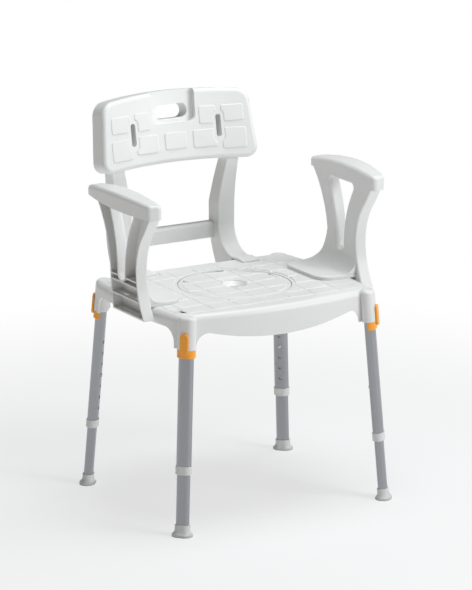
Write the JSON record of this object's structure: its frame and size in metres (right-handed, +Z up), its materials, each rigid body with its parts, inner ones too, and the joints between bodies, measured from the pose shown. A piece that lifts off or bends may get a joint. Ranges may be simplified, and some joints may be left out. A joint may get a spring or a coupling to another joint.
{
  "type": "shower chair",
  "caption": "Height-adjustable shower chair with a lift-out seat lid, lift-off backrest and armrests, and splayed telescopic legs held by snap buttons and lock clips.",
  "frame": {"origin": "on the floor, below the centre of the bounding box", "axes": "+Z up, -Y is the front the sitter faces, +X to the right seen from the front looking along +Y"},
  "size_m": [0.612, 0.5474, 0.8339],
  "materials": {
    "white_plastic": "off-white moulded plastic, fine satin grain",
    "aluminium": "satin anodised aluminium",
    "grey_plastic": "pale grey moulded plastic",
    "grey_rubber": "pale grey rubber",
    "orange_plastic": "bright orange moulded plastic",
    "steel": "zinc-plated steel"
  },
  "bodies": {
    "chair": {"seat_shell": "white_plastic", "outer_tube_front_left": "aluminium", "tube_collar_front_left": "grey_plastic", "outer_tube_front_right": "aluminium", "tube_collar_front_right": "grey_plastic", "outer_tube_rear_left": "aluminium", "tube_collar_rear_left": "grey_plastic", "outer_tube_rear_right": "aluminium", "tube_collar_rear_right": "grey_plastic"},
    "leg_front_left": {"inner_tube_front_left": "aluminium", "inner_tube_plug_front_left": "grey_plastic", "foot_front_left": "grey_rubber", "button_spring_front_left": "steel"},
    "button_front_left": {"snap_button_front_left": "steel"},
    "clip_front_left": {"lock_clip_front_left": "orange_plastic"},
    "leg_front_right": {"inner_tube_front_right": "aluminium", "inner_tube_plug_front_right": "grey_plastic", "foot_front_right": "grey_rubber", "button_spring_front_right": "steel"},
    "button_front_right": {"snap_button_front_right": "steel"},
    "clip_front_right": {"lock_clip_front_right": "orange_plastic"},
    "leg_rear_left": {"inner_tube_rear_left": "aluminium", "inner_tube_plug_rear_left": "grey_plastic", "foot_rear_left": "grey_rubber", "button_spring_rear_left": "steel"},
    "button_rear_left": {"snap_button_rear_left": "steel"},
    "clip_rear_left": {"lock_clip_rear_left": "orange_plastic"},
    "leg_rear_right": {"inner_tube_rear_right": "aluminium", "inner_tube_plug_rear_right": "grey_plastic", "foot_rear_right": "grey_rubber", "button_spring_rear_right": "steel"},
    "button_rear_right": {"snap_button_rear_right": "steel"},
    "clip_rear_right": {"lock_clip_rear_right": "orange_plastic"},
    "lid": {"seat_lid": "white_plastic"},
    "backrest": {"back_panel": "white_plastic", "back_upright_left": "white_plastic", "back_upright_right": "white_plastic", "back_crossbar": "white_plastic", "back_panel_screws": "steel", "crossbar_screws": "steel"},
    "armrest_left": {"armrest_left": "white_plastic"},
    "armrest_right": {"armrest_right": "white_plastic"}
  },
  "joints": [
    {"name": "leg_height_front_left", "type": "slide", "parent": "chair", "child": "leg_front_left", "axis": [0.0636, 0.0597, 0.9962], "range_m": [-0.075, 0.075]},
    {"name": "snap_button_front_left", "type": "slide", "parent": "leg_front_left", "child": "button_front_left", "axis": [-0.7262, -0.6819, 0.0873], "range_m": [0, 0.0045], "stiffness_N_per_m": 900, "springref_m": -0.002, "deforming": ["button_spring_front_left"]},
    {"name": "lock_clip_front_left", "type": "slide", "parent": "chair", "child": "clip_front_left", "axis": [-0.7262, -0.6819, 0.0873], "range_m": [0, 0.03]},
    {"name": "leg_height_front_right", "type": "slide", "parent": "chair", "child": "leg_front_right", "axis": [-0.0636, 0.0597, 0.9962], "range_m": [-0.075, 0.075]},
    {"name": "snap_button_front_right", "type": "slide", "parent": "leg_front_right", "child": "button_front_right", "axis": [0.7262, -0.6819, 0.0873], "range_m": [0, 0.0045], "stiffness_N_per_m": 900, "springref_m": -0.002, "deforming": ["button_spring_front_right"]},
    {"name": "lock_clip_front_right", "type": "slide", "parent": "chair", "child": "clip_front_right", "axis": [0.7262, -0.6819, 0.0873], "range_m": [0, 0.03]},
    {"name": "leg_height_rear_left", "type": "slide", "parent": "chair", "child": "leg_rear_left", "axis": [0.0636, -0.0597, 0.9962], "range_m": [-0.075, 0.075]},
    {"name": "snap_button_rear_left", "type": "slide", "parent": "leg_rear_left", "child": "button_rear_left", "axis": [-0.7262, 0.6819, 0.0873], "range_m": [0, 0.0045], "stiffness_N_per_m": 900, "springref_m": -0.002, "deforming": ["button_spring_rear_left"]},
    {"name": "lock_clip_rear_left", "type": "slide", "parent": "chair", "child": "clip_rear_left", "axis": [-0.7262, 0.6819, 0.0873], "range_m": [0, 0.03]},
    {"name": "leg_height_rear_right", "type": "slide", "parent": "chair", "child": "leg_rear_right", "axis": [-0.0636, -0.0597, 0.9962], "range_m": [-0.075, 0.075]},
    {"name": "snap_button_rear_right", "type": "slide", "parent": "leg_rear_right", "child": "button_rear_right", "axis": [0.7262, 0.6819, 0.0873], "range_m": [0, 0.0045], "stiffness_N_per_m": 900, "springref_m": -0.002, "deforming": ["button_spring_rear_right"]},
    {"name": "lock_clip_rear_right", "type": "slide", "parent": "chair", "child": "clip_rear_right", "axis": [0.7262, 0.6819, 0.0873], "range_m": [0, 0.03]},
    {"name": "lid_lift", "type": "slide", "parent": "chair", "child": "lid", "axis": [0, 0, 1], "range_m": [0, 0.03]},
    {"name": "backrest_lift", "type": "slide", "parent": "chair", "child": "backrest", "axis": [0, 0, 1], "range_m": [0, 0.04]},
    {"name": "armrest_left_lift", "type": "slide", "parent": "chair", "child": "armrest_left", "axis": [0, 0, 1], "range_m": [0, 0.04]},
    {"name": "armrest_right_lift", "type": "slide", "parent": "chair", "child": "armrest_right", "axis": [0, 0, 1], "range_m": [0, 0.04]}
  ]
}
